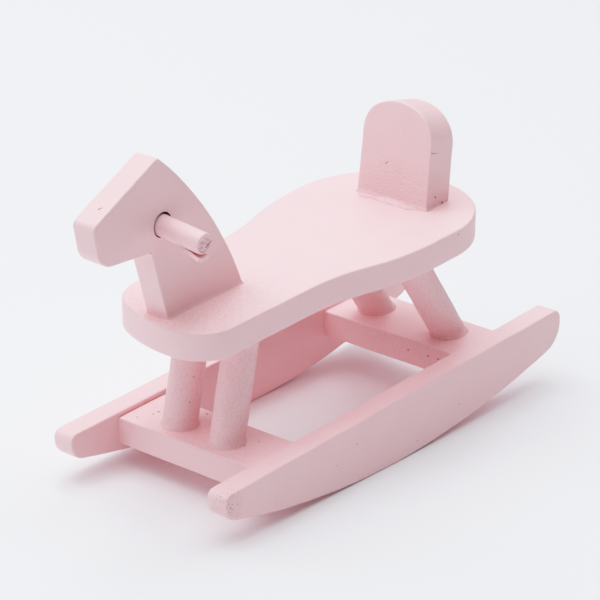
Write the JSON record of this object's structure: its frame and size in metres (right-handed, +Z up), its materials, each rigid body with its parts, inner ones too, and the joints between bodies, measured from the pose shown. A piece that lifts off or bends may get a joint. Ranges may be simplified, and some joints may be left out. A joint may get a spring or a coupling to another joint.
{
  "type": "rocking horse",
  "caption": "Small painted wooden rocking horse: sawn board head with a dowel handle, flared seat, arched backrest and raked dowel legs on curved rockers.",
  "frame": {"origin": "on the floor under the middle of the whole horse, with the rockers' lowest line on the floor", "axes": "+X forward to the head, +Y to the horse's left, +Z up"},
  "size_m": [0.101, 0.0364, 0.0623],
  "materials": {
    "pink_paint": "matte pink paint over wood"
  },
  "bodies": {
    "horse": {"left_rocker": "pink_paint", "right_rocker": "pink_paint", "front_cross_board": "pink_paint", "rear_cross_board": "pink_paint", "seat": "pink_paint", "horse_head": "pink_paint", "backrest": "pink_paint", "front_left_leg": "pink_paint", "front_right_leg": "pink_paint", "rear_left_leg": "pink_paint", "rear_right_leg": "pink_paint"},
    "handle": {"handle": "pink_paint"}
  },
  "joints": [
    {"name": "handle_turn", "type": "hinge", "parent": "horse", "child": "handle", "pos_m": [0.03523, 0, 0.0514], "axis": [0, 0.9954, -0.0958], "continuous": true}
  ]
}
